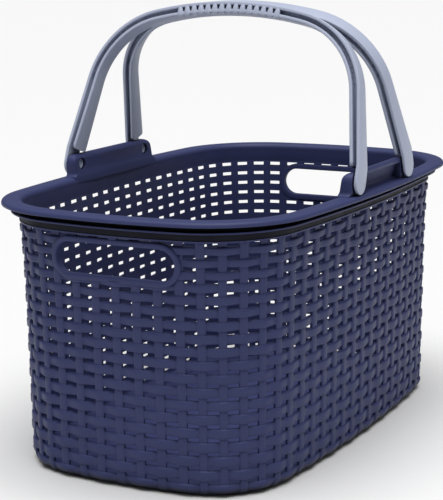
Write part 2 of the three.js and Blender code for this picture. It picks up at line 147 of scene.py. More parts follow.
def plan_arcs():
    """The rim crest's arcs from the middle of the near end, anticlockwise: (x, y, radius, from, to)."""
    across = HALF_WIDTH + CORNER_RADIUS * (math.sin(END_BOW) - math.cos(SIDE_BOW))
    along = HALF_LENGTH + CORNER_RADIUS * (math.sin(SIDE_BOW) - math.cos(END_BOW))
    end_sag = 1 - math.cos(END_BOW)
    side_sag = 1 - math.cos(SIDE_BOW)
    fixed = math.sin(END_BOW) * math.sin(SIDE_BOW) - end_sag * side_sag
    end_radius = (across * math.sin(SIDE_BOW) - along * side_sag) / fixed
    side_radius = (along * math.sin(END_BOW) - across * end_sag) / fixed
    corner_x = (side_radius - CORNER_RADIUS) * math.sin(SIDE_BOW)
    corner_y = (end_radius - CORNER_RADIUS) * math.sin(END_BOW)
    end_x = HALF_LENGTH - end_radius
    side_y = HALF_WIDTH - side_radius
    turn = math.pi
    quarter = math.pi / 2
    half = [
        (-end_x, 0, end_radius, turn, turn + END_BOW),
        (-corner_x, -corner_y, CORNER_RADIUS, turn + END_BOW, turn + quarter - SIDE_BOW),
        (0, -side_y, side_radius, turn + quarter - SIDE_BOW, turn + quarter + SIDE_BOW),
        (corner_x, -corner_y, CORNER_RADIUS, turn + quarter + SIDE_BOW, 2 * turn - END_BOW),
        (end_x, 0, end_radius, 2 * turn - END_BOW, 2 * turn),
    ]
    other = [(-x, -y, radius, start + turn, stop + turn) for x, y, radius, start, stop in half]
    return half + other


PLAN = plan_arcs()
PERIMETER = sum(radius * (stop - start) for _, _, radius, start, stop in PLAN)
PITCH = PERIMETER / STAKES


def plan_at(length, offset=0.0):
    """The point that is this far round the rim's crest, pushed outwards by an offset."""
    left = length % PERIMETER
    for x, y, radius, start, stop in PLAN:
        run = radius * (stop - start)
        if left <= run:
            break
        left -= run
    angle = start + left / radius
    reach = radius + offset
    return Vector((x + reach * math.cos(angle), y + reach * math.sin(angle), 0))


def wall_offset(height):
    """How far the faces of the stakes lie from the rim's crest at a height."""
    below = COLLAR_BOTTOM - height
    flare = FLARE * (1 - math.exp(-below / FLARE_LENGTH))
    return -COLLAR_INSET - flare - DRAFT * below / COLLAR_BOTTOM


def guide(name, points, cyclic=False):
    """A plain line through points, for Geometry Nodes to follow."""
    curve = bpy.data.curves.new(name, "CURVE")
    curve.dimensions = "3D"
    line = curve.splines.new("POLY")
    line.points.add(len(points) - 1)
    for point, place in zip(line.points, points):
        point.co = (*place, 1)
    line.use_cyclic_u = cyclic
    made = bpy.data.objects.new(name, curve)
    scene.collection.objects.link(made)
    return made


plan_guide = guide("plan_guide", [plan_at(PERIMETER * s / PLAN_STEPS) for s in range(PLAN_STEPS)], True)

# The wall's section, from the collar down and round the curl: X is the offset from the crest.
curb_centre = wall_offset(CURB_RADIUS) + PROUD - CURB_RADIUS
curl = CURB_RADIUS - PROUD
section_points = []
for step in range(WALL_STEPS + 1):
    height = COLLAR_BOTTOM - (COLLAR_BOTTOM - CURB_RADIUS) * step / WALL_STEPS
    section_points.append((wall_offset(height), 0, height))
for step in range(1, CURL_STEPS + 1):
    angle = math.pi / 2 * step / CURL_STEPS
    reach = curl * math.cos(angle)
    section_points.append((curb_centre + reach, 0, CURB_RADIUS - curl * math.sin(angle)))
section_guide = guide("section_guide", section_points)
section_steps = zip(section_points, section_points[1:])
section_length = sum((Vector(a) - Vector(b)).length for a, b in section_steps)

# One cell reaches from the middle of a stake to the middle of the next, and from the middle of
# a band to the middle of the one below. Its vertices carry shares of those, and two reliefs:
# stake and band trade places from cell to cell.
ACROSS = (0, 0.07, 0.18, STAKE_SHARE, 0.24, 0.5, 0.76, 1 - STAKE_SHARE, 0.82, 0.93, 1)
DOWN = (-1, -0.62, -0.37, -0.31, -0.24, 0.24, 0.31, 0.37, 0.62, 1)
SLOT_SHARE = 0.31
INNER_SLOT = 0.8


def stake_face(share):
    """A stake's slightly crowned face, in millimetres, by the share of the pitch from its middle."""
    if share < 0.1:
        return 0.2
    return 0.08 if share < 0.19 else -0.4


def relief(across, down, top_row):
    """The woven face's height in millimetres, where the first stake is in front in the upper half."""
    near = min(across, 1 - across)
    if top_row and down < -0.3:
        return 0 if down > -0.35 else 0.5
    if top_row and down < 0.3:
        return -1.2 if across < 0.5 else stake_face(near)
    if down > 0:
        across, down = 1 - across, -down
    if across < 0.22:
        return stake_face(near)
    if down > -0.3:
        return stake_face(near) - 0.35
    edge = 0.7 if down > -0.35 else 0.2 if down > -0.4 else 0
    return -BAND_SWING * math.cos(math.pi * across) - edge


def cell(name, down_lines, slotted=True, top_row=False):
    """A cell of the weave as a mesh: outer face, inner face and the slot's four sides."""
    shape = bmesh.new()
    layers = {
        key: shape.verts.layers.float.new(key)
        for key in ("across", "slot", "up", "down", "inside", "even", "odd")
    }

    def corner(across, down, inside):
        """One vertex, with the shares and reliefs that the tree reads."""
        vert = shape.verts.new((across, down, inside))
        room = (abs(down) - SLOT_SHARE) / (1 - SLOT_SHARE)
        vert[layers["across"]] = across
        reach = INNER_SLOT if inside and abs(down) < 0.5 else 1
        vert[layers["slot"]] = max(-reach, min(reach, down / SLOT_SHARE))
        vert[layers["up"]] = max(0, room) if down < 0 else 0
        vert[layers["down"]] = max(0, room) if down > 0 else 0
        vert[layers["inside"]] = inside
        vert[layers["even"]] = 0.6 if inside else relief(across, down, top_row)
        vert[layers["odd"]] = 0.6 if inside else relief(1 - across, down, top_row)
        return vert

    def sheet(across_lines, lines, inside):
        """One face of the wall as a grid of quads, left open where the slot is."""
        grid = [[corner(a, d, inside) for a in across_lines] for d in lines]
        for row in range(len(lines) - 1):
            for column in range(len(across_lines) - 1):
                middle = (across_lines[column] + across_lines[column + 1]) / 2
                height = (lines[row] + lines[row + 1]) / 2
                open_here = abs(middle - 0.5) < 0.5 - STAKE_SHARE and abs(height) < SLOT_SHARE
                if slotted and open_here:
                    continue
                ring = [
                    grid[row][column],
                    grid[row + 1][column],
                    grid[row + 1][column + 1],
                    grid[row][column + 1],
                ]
                shape.faces.new(ring[::-1] if inside else ring)
        return grid

    outer = sheet(ACROSS, down_lines, 0)
    if slotted:
        inner_down = (-1, -SLOT_SHARE, SLOT_SHARE, 1)
    else:
        inner_down = (down_lines[0], down_lines[-1])
    inner = sheet((0, STAKE_SHARE, 1 - STAKE_SHARE, 1), inner_down, 1)
    if slotted:
        left, right = 3, len(ACROSS) - 4
        top, bottom = 3, len(down_lines) - 4
        upper = outer[top][left : right + 1]
        lower = outer[bottom][left : right + 1]
        before = [outer[row][left] for row in range(top, bottom + 1)]
        after = [outer[row][right] for row in range(top, bottom + 1)]
        shape.faces.new(upper + [inner[1][2], inner[1][1]])
        shape.faces.new(lower[::-1] + [inner[2][1], inner[2][2]])
        shape.faces.new(before[::-1] + [inner[1][1], inner[2][1]])
        shape.faces.new(after + [inner[2][2], inner[1][2]])
    loose = [vert for vert in shape.verts if not vert.link_faces]
    bmesh.ops.delete(shape, geom=loose, context="VERTS")
    mesh = bpy.data.meshes.new(name)
    shape.to_mesh(mesh)
    shape.free()
    made = bpy.data.objects.new(name, mesh)
    scene.collection.objects.link(made)
    return made


plain_cell = cell("plain_cell", DOWN)
top_cell = cell("top_cell", DOWN, top_row=True)
curb_cell = cell("curb_cell", (-1, -0.62, -0.31, 0.1, 0.55, 1), slotted=False)


def empty_tree(name, sockets):
    """A tree of Geometry Nodes with these inputs, and what its inputs give."""
    tree = bpy.data.node_groups.new(name, "GeometryNodeTree")
    for socket, kind in sockets:
        tree.interface.new_socket(name=socket, in_out="INPUT", socket_type="NodeSocket" + kind)
    tree.interface.new_socket(name="Geometry", in_out="OUTPUT", socket_type="NodeSocketGeometry")
    return tree, node(tree, "NodeGroupInput").outputs


def end_smooth(tree, geometry, crisp_angle, material):
    """Ends a tree: the surface is smooth but for its sharp edges, and has its material."""
    angle = node(tree, "GeometryNodeInputMeshEdgeAngle")
    soft = node(tree, "ShaderNodeMath", {0: angle, 1: crisp_angle}, operation="LESS_THAN")
    smooth = node(tree, "GeometryNodeSetShadeSmooth", {"Geometry": geometry}, domain="FACE")
    softened = {"Geometry": smooth, "Shade Smooth": soft}
    edged = node(tree, "GeometryNodeSetShadeSmooth", softened, domain="EDGE")
    coloured = node(tree, "GeometryNodeSetMaterial", {"Geometry": edged, "Material": material})
    node(tree, "NodeGroupOutput", {0: coloured})


def weave_tree():
    """Geometry Nodes: cells in rows round the plan, wrapped onto the wall's section."""
    sockets = (
        ("Cell", "Object"),
        ("Top cell", "Object"),
        ("Plan", "Object"),
        ("Section", "Object"),
        ("First stake", "Int"),
        ("Stakes", "Int"),
        ("First row", "Int"),
        ("Rows", "Int"),
        ("Pitch", "Float"),
        ("Collar height", "Float"),
        ("Top row height", "Float"),
        ("Row step", "Float"),
        ("Row growth", "Float"),
        ("Slot height", "Float"),
        ("Room at bottom", "Float"),
        ("Wall", "Float"),
        ("Proud", "Float"),
        ("Material", "Material"),
    )
    tree, given = empty_tree("Woven wall", sockets)

    # Where each cell is: its stake, its row, its slot's height and the room above and below.
    total = node(tree, "ShaderNodeMath", {0: given["Stakes"], 1: given["Rows"]}, operation="MULTIPLY")
    points = node(tree, "GeometryNodePoints", {"Count": total})
    index = node(tree, "GeometryNodeInputIndex")
    column = node(tree, "ShaderNodeMath", {0: index, 1: given["Stakes"]}, operation="FLOORED_MODULO")
    stake = node(tree, "ShaderNodeMath", {0: column, 1: given["First stake"]}, operation="ADD")
    share = node(tree, "ShaderNodeMath", {0: index, 1: given["Stakes"]}, operation="DIVIDE")
    line = node(tree, "ShaderNodeMath", {0: share}, operation="FLOOR")
    row = node(tree, "ShaderNodeMath", {0: line, 1: given["First row"]}, operation="ADD")
    down_rows = node(tree, "ShaderNodeMath", {0: row, 1: 1.0}, operation="SUBTRACT")
    squared = node(tree, "ShaderNodeMath", {0: down_rows, 1: 2.0}, operation="POWER")
    stepped = node(tree, "ShaderNodeMath", {0: down_rows, 1: given["Row step"]}, operation="MULTIPLY")
    fallen = node(
        tree, "ShaderNodeMath", {0: squared, 1: given["Row growth"], 2: stepped}, operation="MULTIPLY_ADD"
    )
    slot_at = node(tree, "ShaderNodeMath", {0: given["Top row height"], 1: fallen}, operation="SUBTRACT")
    half_step = node(tree, "ShaderNodeMath", {0: given["Row step"], 1: 0.5}, operation="MULTIPLY")
    after = node(tree, "ShaderNodeMath", {0: down_rows, 1: 0.5}, operation="ADD")
    before = node(tree, "ShaderNodeMath", {0: down_rows, 1: 0.5}, operation="SUBTRACT")
    below = node(
        tree, "ShaderNodeMath", {0: after, 1: given["Row growth"], 2: half_step}, operation="MULTIPLY_ADD"
    )
    above = node(
        tree, "ShaderNodeMath", {0: before, 1: given["Row growth"], 2: half_step}, operation="MULTIPLY_ADD"
    )
    is_top = node(tree, "ShaderNodeMath", {0: row, 1: 1.0, 2: 0.1}, operation="COMPARE")
    top_room = node(
        tree,
        "ShaderNodeMath",
        {0: given["Collar height"], 1: given["Top row height"]},
        operation="SUBTRACT",
    )
    room_above = node(tree, "GeometryNodeSwitch", {0: is_top, 1: above, 2: top_room}, input_type="FLOAT")
    is_curb = node(tree, "ShaderNodeMath", {0: given["Room at bottom"], 1: 0.0}, operation="GREATER_THAN")
    room_below = node(
        tree, "GeometryNodeSwitch", {0: is_curb, 1: below, 2: given["Room at bottom"]}, input_type="FLOAT"
    )
    turn = node(tree, "ShaderNodeMath", {0: stake, 1: row}, operation="ADD")
    odd = node(tree, "ShaderNodeMath", {0: turn, 1: 2.0}, operation="FLOORED_MODULO")
    told = points
    facts = (
        ("stake", stake),
        ("slot_at", slot_at),
        ("room_above", room_above),
        ("room_below", room_below),
        ("is_odd", odd),
    )
    for name, value in facts:
        told = node(
            tree,
            "GeometryNodeStoreNamedAttribute",
            {"Geometry": told, "Name": name, "Value": value},
            data_type="FLOAT",
        )
    cells = node(tree, "GeometryNodeJoinGeometry")
    not_top = node(tree, "FunctionNodeBooleanMath", {0: is_top}, operation="NOT")
    for wanted, chosen in (("Cell", not_top), ("Top cell", is_top)):
        one = node(tree, "GeometryNodeObjectInfo", {"Object": given[wanted]})
        placed = node(
            tree,
            "GeometryNodeInstanceOnPoints",
            {"Points": told, "Selection": chosen, "Instance": one.outputs["Geometry"]},
        )
        tree.links.new(placed.outputs[0], cells.inputs[0])
    real = node(tree, "GeometryNodeRealizeInstances", {0: cells})

    # Each vertex's length round the plan, and its drop down the wall's section.
    cell_facts = ["stake", "slot_at", "room_above", "room_below", "is_odd"]
    vertex_facts = ["across", "slot", "up", "down", "inside", "even", "odd"]
    said = {
        name: node(tree, "GeometryNodeInputNamedAttribute", {"Name": name}, data_type="FLOAT")
        for name in cell_facts + vertex_facts
    }
    moved = node(tree, "ShaderNodeMath", {0: said["stake"], 1: said["across"]}, operation="ADD")
    raw = node(tree, "ShaderNodeMath", {0: moved, 1: given["Pitch"]}, operation="MULTIPLY")
    plan = node(tree, "GeometryNodeObjectInfo", {"Object": given["Plan"]})
    perimeter = node(tree, "GeometryNodeCurveLength", {0: plan.outputs["Geometry"]})
    length = node(tree, "ShaderNodeMath", {0: raw, 1: perimeter}, operation="FLOORED_MODULO")
    half_slot = node(tree, "ShaderNodeMath", {0: given["Slot height"], 1: 0.5}, operation="MULTIPLY")
    spare_up = node(tree, "ShaderNodeMath", {0: said["room_above"], 1: half_slot}, operation="SUBTRACT")
    spare_down = node(tree, "ShaderNodeMath", {0: said["room_below"], 1: half_slot}, operation="SUBTRACT")
    from_collar = node(
        tree, "ShaderNodeMath", {0: given["Collar height"], 1: said["slot_at"]}, operation="SUBTRACT"
    )
    with_slot = node(
        tree, "ShaderNodeMath", {0: said["slot"], 1: half_slot, 2: from_collar}, operation="MULTIPLY_ADD"
    )
    with_down = node(
        tree, "ShaderNodeMath", {0: said["down"], 1: spare_down, 2: with_slot}, operation="MULTIPLY_ADD"
    )
    lift = node(tree, "ShaderNodeMath", {0: said["up"], 1: spare_up}, operation="MULTIPLY")
    drop = node(tree, "ShaderNodeMath", {0: with_down, 1: lift}, operation="SUBTRACT")

    plan_place = node(
        tree,
        "GeometryNodeSampleCurve",
        {"Curves": plan.outputs["Geometry"], "Length": length},
        mode="LENGTH",
    )
    section = node(tree, "GeometryNodeObjectInfo", {"Object": given["Section"]})
    section_place = node(
        tree,
        "GeometryNodeSampleCurve",
        {"Curves": section.outputs["Geometry"], "Length": drop},
        mode="LENGTH",
    )
    forward = node(tree, "ShaderNodeSeparateXYZ", {0: plan_place.outputs["Tangent"]})
    left = node(tree, "ShaderNodeMath", {0: forward, 1: -1.0}, operation="MULTIPLY")
    outward = node(tree, "ShaderNodeCombineXYZ", {0: forward.outputs[1], 1: left})
    fall = node(tree, "ShaderNodeSeparateXYZ", {0: section_place.outputs["Tangent"]})
    facing = node(tree, "ShaderNodeMath", {0: fall.outputs[2], 1: -1.0}, operation="MULTIPLY")

    # The relief fades out round the curl, where the wall's face becomes the flat of the base.
    chosen = node(tree, "ShaderNodeMix", {"Factor": said["is_odd"], 2: said["even"], 3: said["odd"]})
    in_metres = node(tree, "ShaderNodeMath", {0: chosen, 1: MM}, operation="MULTIPLY")
    upright = node(tree, "ShaderNodeMath", {0: facing, 1: 2.0}, operation="POWER")
    bumps = node(tree, "ShaderNodeMix", {"Factor": upright, 2: given["Proud"], 3: in_metres})
    thickness = node(tree, "ShaderNodeMath", {0: said["inside"], 1: given["Wall"]}, operation="MULTIPLY")
    out = node(tree, "ShaderNodeMath", {0: bumps, 1: thickness}, operation="SUBTRACT")
    spot = node(tree, "ShaderNodeSeparateXYZ", {0: section_place.outputs["Position"]})
    offset = node(tree, "ShaderNodeMath", {0: facing, 1: out, 2: spot}, operation="MULTIPLY_ADD")
    height = node(tree, "ShaderNodeMath", {0: fall, 1: out, 2: spot.outputs[2]}, operation="MULTIPLY_ADD")
    unit = node(tree, "ShaderNodeVectorMath", {0: outward}, operation="NORMALIZE")
    pushed = node(tree, "ShaderNodeVectorMath", {0: unit, "Scale": offset}, operation="SCALE")
    raised = node(tree, "ShaderNodeCombineXYZ", {2: height})
    base = node(
        tree, "ShaderNodeVectorMath", {0: plan_place.outputs["Position"], 1: raised}, operation="ADD"
    )
    place = node(tree, "ShaderNodeVectorMath", {0: base, 1: pushed}, operation="ADD")
    wrapped = node(tree, "GeometryNodeSetPosition", {"Geometry": real, "Position": place})
    welded = node(tree, "GeometryNodeMergeByDistance", {"Geometry": wrapped, "Distance": 0.02 * MM})
    end_smooth(tree, welded, math.radians(62), given["Material"])
    return tree


def grown(name, tree, values):
    """The plain mesh that a tree of Geometry Nodes makes from these inputs."""
    holder = bpy.data.objects.new(name, bpy.data.meshes.new(name))
    scene.collection.objects.link(holder)
    modifier = holder.modifiers.new("nodes", "NODES")
    modifier.node_group = tree
    for item in tree.interface.items_tree:
        if item.item_type == "SOCKET" and item.in_out == "INPUT" and item.name in values:
            modifier[item.identifier] = values[item.name]
    made = holder.evaluated_get(bpy.context.evaluated_depsgraph_get())
    mesh = bpy.data.meshes.new_from_object(made)
    for attribute in list(mesh.attributes):
        if attribute.domain == "POINT" and not attribute.is_required:
            mesh.attributes.remove(attribute)
    bpy.data.objects.remove(holder)
    piece = bpy.data.objects.new(name, mesh)
    mesh.name = name
    scene.collection.objects.link(piece)
    return piece


def close_edges(piece):
    """Joins the outer face's open edge to the inner face's, so that the wall is solid all round."""
    shape = bmesh.new()
    shape.from_mesh(piece.data)
    open_edges = {edge for edge in shape.edges if edge.is_boundary}
    for edge in open_edges:
        edge.smooth = False
    loops = []
    while open_edges:
        edge = open_edges.pop()
        loop, reach = [edge], [edge]
        while reach:
            for vert in reach.pop().verts:
                for other in vert.link_edges:
                    if other in open_edges:
                        open_edges.discard(other)
                        loop.append(other)
                        reach.append(other)
        loops.append(loop)

    def middle(loop):
        """The mean place of a loop's edges."""
        return sum((edge.verts[0].co for edge in loop), Vector()) / len(loop)

    loops.sort(key=lambda loop: middle(loop).z)
    for pair in range(0, len(loops) - 1, 2):
        bmesh.ops.bridge_loops(shape, edges=loops[pair] + loops[pair + 1])
    bmesh.ops.recalc_face_normals(shape, faces=shape.faces)
    shape.to_mesh(piece.data)
    shape.free()


woven = weave_tree()
weave_sizes = {
    "Plan": plan_guide,
    "Section": section_guide,
    "Pitch": PITCH,
    "Collar height": COLLAR_BOTTOM,
    "Top row height": TOP_ROW,
    "Row step": ROW_STEP,
    "Row growth": ROW_GROWTH,
    "Slot height": SLOT_HEIGHT,
    "Wall": WALL,
    "Proud": PROUD,
    "Material": navy,
}

# Stakes are counted from the middle of the near end; each panel starts and stops on a stake.
PANELS = (
    ("near_end_wall", -4, 8),
    ("near_right_corner", 4, 4),
    ("right_wall", 8, 17),
    ("far_right_corner", 25, 4),
    ("far_end_wall", 29, 8),
    ("far_left_corner", 37, 4),
    ("left_wall", 41, 17),
    ("near_left_corner", 58, 4),
)
woven_panels = {}
for cad_node, first, count in PANELS:
    panel = grown(
        "woven_" + cad_node,
        woven,
        {
            **weave_sizes,
            "Cell": plain_cell,
            "Top cell": top_cell,
            "First stake": first,
            "Stakes": count,
            "First row": 1,
            "Rows": ROWS,
        },
    )
    close_edges(panel)
    woven_panels[cad_node] = panel

# The last row's lower half and the curl make a ring of their own.
curb_slot = TOP_ROW - ROW_STEP * ROWS - ROW_GROWTH * ROWS**2
woven_curb = grown(
    "woven_curb",
    woven,
    {
        **weave_sizes,
        "Cell": curb_cell,
        "Top cell": curb_cell,
        "First stake": 0,
        "Stakes": STAKES,
        "First row": ROWS + 1,
        "Rows": 1,
        "Room at bottom": section_length - (COLLAR_BOTTOM - curb_slot),
    },
)
close_edges(woven_curb)
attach(woven_curb, "basket")
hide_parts("base_curb")
for cad_node, panel in woven_panels.items():
    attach(panel, "basket")
    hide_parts(cad_node)
for part in (plan_guide, section_guide, plain_cell, top_cell, curb_cell):
    bpy.data.objects.remove(part)

# ---- Hand-holes ----
# Each end has a hand-hole with a raised rounded border, moulded with the wall. It follows the
# wall's curve, and the weave stops against it.

HAND_HOLE_LENGTH = 97 * MM
HAND_HOLE_HEIGHT = 23.2 * MM
HAND_HOLE_CENTRE = RIM_HEIGHT - 34.2 * MM
BORDER = 4.6 * MM
BORDER_PROUD = 2 * MM
BORDER_LAP = 1.5 * MM
HAND_HOLE_STEPS = 24


def rounded(corners, steps=4):
    """A closed outline with its corners rounded: each corner is (x, y, radius)."""
    outline = []
    for index, (x, y, radius) in enumerate(corners):
        here = Vector((x, y))
        before = (Vector(corners[index - 1][:2]) - here).normalized()
        after = (Vector(corners[(index + 1) % len(corners)][:2]) - here).normalized()
        half = before.angle(after) / 2
        reach = radius / math.tan(half)
        centre = here + (before + after).normalized() * radius / math.sin(half)
        start = here + before * reach - centre
        sweep = start.angle_signed(here + after * reach - centre)
        for step in range(steps + 1):
            outline.append(centre + Matrix.Rotation(-sweep * step / steps, 2) @ start)
    return outline


def skinned(name, rings, material, closed=False):
    """A solid from rings of points, all of one count: its ends are filled unless it closes up."""
    shape = bmesh.new()
    made = [[shape.verts.new(point) for point in ring] for ring in rings]
    for index in range(len(made) if closed else len(made) - 1):
        ring, following = made[index], made[(index + 1) % len(made)]
        for side in range(len(ring)):
            beyond = (side + 1) % len(ring)
            shape.faces.new((ring[side], ring[beyond], following[beyond], following[side]))
    if not closed:
        shape.faces.new(made[0])
        shape.faces.new(made[-1][::-1])
    bmesh.ops.remove_doubles(shape, verts=shape.verts, dist=0.001 * MM)
    bmesh.ops.recalc_face_normals(shape, faces=shape.faces)
    for face in shape.faces:
        face.smooth = True
    for edge in shape.edges:
        edge.smooth = len(edge.link_faces) == 2 and edge.calc_face_angle() < math.radians(40)
    mesh = bpy.data.meshes.new(name)
    shape.to_mesh(mesh)
    shape.free()
    mesh.materials.append(material)
    piece = bpy.data.objects.new(name, mesh)
    scene.collection.objects.link(piece)
    return piece


def carved(piece, tool, operation="DIFFERENCE"):
    """Cuts a tool's shape out of a piece, or keeps or adds it, and throws the tool away."""
    cut = piece.modifiers.new("cut", "BOOLEAN")
    cut.operation = operation
    cut.solver = "EXACT"
    cut.object = tool
    solid = bpy.data.meshes.new_from_object(piece.evaluated_get(bpy.context.evaluated_depsgraph_get()))
    piece.modifiers.clear()
    piece.data = solid
    bpy.data.objects.remove(tool)


def stadium(length, height, steps):
    """Points and outward directions round a slot with round ends, in the end wall's (Y, Z)."""
    radius = height / 2
    reach = length / 2 - radius
    places = []
    for side in (1, -1):
        for step in range(steps + 1):
            angle = math.pi * step / steps - math.pi / 2
            direction = Vector((math.cos(angle), math.sin(angle))) * side
            places.append((Vector((reach * side, 0)) + direction * radius, direction))
    return places


def on_end_wall(y, z, depth, side):
    """A place on an end wall, this far proud of its stakes. Side is -1 for the near end."""
    x_centre, _, radius, _, _ = PLAN[0]
    reach = radius + wall_offset(z) + depth
    return Vector((side * (math.sqrt(reach * reach - y * y) - x_centre), y, z))


border_section = rounded(
    (
        (0, -WALL, 0.8 * MM),
        (0, PROUD + BORDER_PROUD, 1.3 * MM),
        (BORDER, PROUD + BORDER_PROUD, 1.6 * MM),
        (BORDER, -WALL, 0.3 * MM),
    )
)
for end, side in (("near", -1), ("far", 1)):
    ring_places = []
    for place, direction in stadium(HAND_HOLE_LENGTH, HAND_HOLE_HEIGHT, HAND_HOLE_STEPS):
        ring = []
        for across, depth in border_section:
            y, z = place + direction * across
            ring.append(on_end_wall(y, z + HAND_HOLE_CENTRE, depth, side))
        ring_places.append(ring)
    frame_piece = skinned(end + "_hand_hole_border", ring_places, navy, closed=True)
    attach(frame_piece, "basket")
    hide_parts(end + "_hand_hole_frame")

    # The weave is cut away under the border, from well inside the end wall to well outside it.
    bar = []
    for x in (side * HALF_LENGTH * 0.7, side * HALF_LENGTH * 1.1):
        ring = []
        for place, direction in stadium(HAND_HOLE_LENGTH, HAND_HOLE_HEIGHT, HAND_HOLE_STEPS):
            y, z = place + direction * (BORDER - BORDER_LAP)
            ring.append((x, y, z + HAND_HOLE_CENTRE))
        bar.append(ring)
    carved(woven_panels[end + "_end_wall"], skinned("cutter", bar, navy))

# ---- Rim ----
# The rim is a domed flange that turns down outside as a lip and inside as a short skirt. Below
# it are a plain collar and a thin rib that stiffens the edge. All one moulding with the wall.

LIP_REACH = 8.5 * MM
LIP_BOTTOM = RIM_HEIGHT - 4 * MM
SKIRT_BOTTOM = RIM_HEIGHT - 5.6 * MM
COLLAR_INNER = -7.4 * MM
RIM_WALL = 2.2 * MM
RIB_TOP = RIM_HEIGHT - 8.4 * MM
RIB_THICKNESS = 1.5 * MM
RIB_REACH = 1.5 * MM
RIM_STEPS = 8 * STAKES


def sweep_tree():
    """Geometry Nodes: one section carried round a closed line that lies flat."""
    sockets = (
        ("Line", "Object"),
        ("Section", "Object"),
        ("Crisp angle", "Float"),
        ("Material", "Material"),
    )
    tree, given = empty_tree("Moulding round the rim", sockets)
    line = node(tree, "GeometryNodeObjectInfo", {"Object": given["Line"]})
    section = node(tree, "GeometryNodeObjectInfo", {"Object": given["Section"]})
    upright = node(tree, "GeometryNodeSetCurveNormal", {0: line.outputs["Geometry"]}, mode="Z_UP")
    swept = node(tree, "GeometryNodeCurveToMesh", {0: upright, 1: section.outputs["Geometry"]})
    end_smooth(tree, swept, given["Crisp angle"], given["Material"])
    return tree


rim_line = guide("rim_line", [plan_at(PERIMETER * s / RIM_STEPS) for s in range(RIM_STEPS)], True)
moulding = sweep_tree()
# Painted shade: a darker, duller copy of the navy plastic for the collar's outer face in the undercut
# below the lip, for the shade that falls there.
navy_painted_shade = moulded_plastic(
    "moulded_polypropylene_navy_undercut", "0d0f1e", "0a0c18", "07080f", 0.6, 0.35
)
rim_section = (
    (LIP_REACH, LIP_BOTTOM, 0.5 * MM),
    (LIP_REACH, RIM_HEIGHT - 0.6 * MM, 2.6 * MM),
    (0, RIM_HEIGHT + 0.05 * MM, 20 * MM),
    (COLLAR_INNER, RIM_HEIGHT - 0.5 * MM, 4.2 * MM),
    (COLLAR_INNER, SKIRT_BOTTOM, 0.02 * MM),
    (-COLLAR_INSET, SKIRT_BOTTOM, 0.3 * MM),
    (-COLLAR_INSET, RIM_HEIGHT - RIM_WALL, 1.6 * MM),
    (LIP_REACH - RIM_WALL, RIM_HEIGHT - RIM_WALL, 0.8 * MM),
    (LIP_REACH - RIM_WALL, LIP_BOTTOM, 0.5 * MM),
)
rib_section = (
    (-COLLAR_INSET, RIB_TOP - RIB_THICKNESS, 0.2 * MM),
    (RIB_REACH, RIB_TOP - RIB_THICKNESS, 0.4 * MM),
    (RIB_REACH, RIB_TOP, 0.6 * MM),
    (-COLLAR_INSET, RIB_TOP, 0.2 * MM),
)
collar_section = (
    (COLLAR_INNER, COLLAR_BOTTOM, 0.02 * MM),
    (-COLLAR_INSET, COLLAR_BOTTOM, 0.5 * MM),
    (-COLLAR_INSET, SKIRT_BOTTOM, 0.2 * MM),
    (COLLAR_INNER, SKIRT_BOTTOM, 0.02 * MM),
)
for cad_node, corners in (
    ("rim_flange", rim_section),
    ("rim_rib", rib_section),
    ("collar", collar_section),
):
    flat = [(x, -y, 0) for x, y in rounded(corners, 6)][::-1]
    section = guide(cad_node + "_section", flat, True)
    values = {
        "Line": rim_line,
        "Section": section,
        "Crisp angle": math.radians(50),
        "Material": navy,
    }
    piece = grown("moulded_" + cad_node, moulding, values)
    # The collar's outward faces take the painted shade copy of the navy plastic.
    if cad_node == "collar":
        piece.data.materials.append(navy_painted_shade)
        for face in piece.data.polygons:
            outwards = face.normal.xy.dot(face.center.xy.normalized())
            if outwards > 0.5:
                face.material_index = 1
    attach(piece, "basket")
    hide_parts(cad_node)
    bpy.data.objects.remove(section)
bpy.data.objects.remove(rim_line)

# ---- Hinge towers ----
# One tower stands at the middle of each long side: two pillars with a plate between them that
# rolls over at the top. Each pillar has a through hole for a handle's stud. Moulded with the rim.

TOWER_INNER = HALF_WIDTH - 7.4 * MM
TOWER_OUTER = HALF_WIDTH + 2.7 * MM
TOWER_HALF = 60 * MM
TOWER_CORNER = 7 * MM
TOWER_FLARE = 3.5 * MM
TOWER_FOOT = 197.6 * MM
TOWER_SEAT = 201 * MM
PILLAR = 21 * MM
PIVOT_HALF_SPACING = 49.5 * MM
PIVOT_HEIGHT = 212 * MM
TOWER_TOP = PIVOT_HEIGHT + 7.8 * MM
HOLE_RADIUS = 4.8 * MM
HOLE_STEPS = 40
TOWER_EDGE = 0.55 * MM
SEAT_BLEND = 8 * MM
FLARE_STEPS = 6
CORNER_STEPS = 8

tower_face = (
    (TOWER_INNER, TOWER_FOOT, 0.2 * MM),
    (TOWER_INNER + 0.3 * MM, TOWER_SEAT + 3 * MM, 8 * MM),
    (TOWER_INNER + 2.6 * MM, TOWER_TOP, 5.5 * MM),
    (TOWER_OUTER, TOWER_TOP, 2 * MM),
)
tower_foot = (
    (TOWER_INNER + 2.5 * MM, TOWER_SEAT - 0.3 * MM, 0.2 * MM),
    (TOWER_INNER + 2.5 * MM, TOWER_FOOT, 0.2 * MM),
)
pillar_section = (*tower_face, (TOWER_OUTER, TOWER_SEAT, 0.3 * MM), *tower_foot)
plate_section = (
    *tower_face,
    (TOWER_OUTER, TOWER_TOP - 4.4 * MM, 0.8 * MM),
    (TOWER_INNER + 6 * MM, TOWER_TOP - 4.4 * MM, 2.5 * MM),
    (TOWER_INNER + 3.3 * MM, TOWER_SEAT + 2.2 * MM, 3 * MM),
    (TOWER_OUTER, TOWER_SEAT + 1.2 * MM, 0.4 * MM),
    (TOWER_OUTER, TOWER_SEAT, 0.3 * MM),
    *tower_foot,
)


def along_x(name, outline, start, stop):
    """A (Y, Z) outline drawn out along X."""
    return skinned(name, [[(x, y, z) for y, z in outline] for x in (start, stop)], navy)


